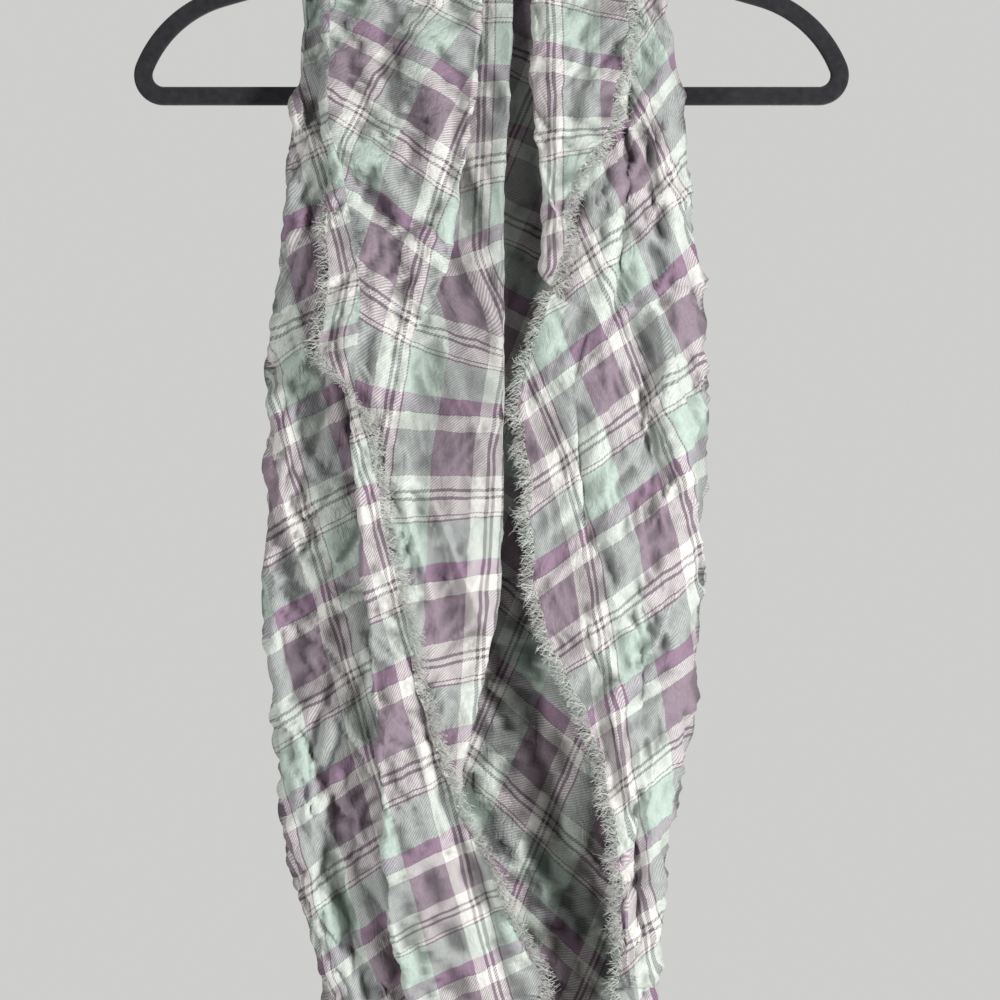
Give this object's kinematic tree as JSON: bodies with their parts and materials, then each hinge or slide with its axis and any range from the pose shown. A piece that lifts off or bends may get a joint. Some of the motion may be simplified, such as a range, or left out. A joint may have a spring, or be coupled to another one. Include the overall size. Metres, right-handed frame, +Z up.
{
  "type": "infinity scarf on a hanger",
  "caption": "Wide loop scarf of crinkled plaid gauze in mint, cream and mauve with frayed edges, hung over a slim black flocked hanger with a steel hook.",
  "frame": {"origin": "inside of the hanger hook's top, where the rod sits", "axes": "+Z up, -Y the front, +X to the wearer's left as seen from the front (right in the front view)"},
  "size_m": [0.445, 0.0877, 0.8887],
  "materials": {
    "gauze": "matt crinkled twill gauze, yarn-dyed plaid in mint, cream, mauve and purple",
    "frayed_yarn": "loose curly yarn ends",
    "flock": "short black flock over moulded plastic",
    "hook_steel": "bright plated wire"
  },
  "bodies": {
    "root": {"hanger_frame": "flock", "hanger_hook": "hook_steel", "neck_right": "gauze", "neck_swag": "gauze", "neck_left": "gauze", "left_top_edge": "gauze", "left_top_front": "gauze", "left_top_pleat": "gauze", "left_top_outer": "gauze", "left_top_back": "gauze", "left_lapel": "gauze", "left_front": "gauze", "left_outer": "gauze", "left_back": "gauze", "right_top_lapel": "gauze", "right_top_outer": "gauze", "right_top_back": "gauze", "right_top_turn": "gauze", "right_outer": "gauze", "right_back": "gauze", "right_turn": "gauze", "bottom_front": "gauze", "back_panel": "gauze", "left_top_fringe": "frayed_yarn", "left_top_back_fringe": "frayed_yarn", "left_fringe": "frayed_yarn", "left_back_fringe": "frayed_yarn", "right_top_fringe": "frayed_yarn", "right_top_back_fringe": "frayed_yarn", "right_fringe": "frayed_yarn", "right_back_fringe": "frayed_yarn", "bottom_fringe": "frayed_yarn"}
  },
  "joints": []
}
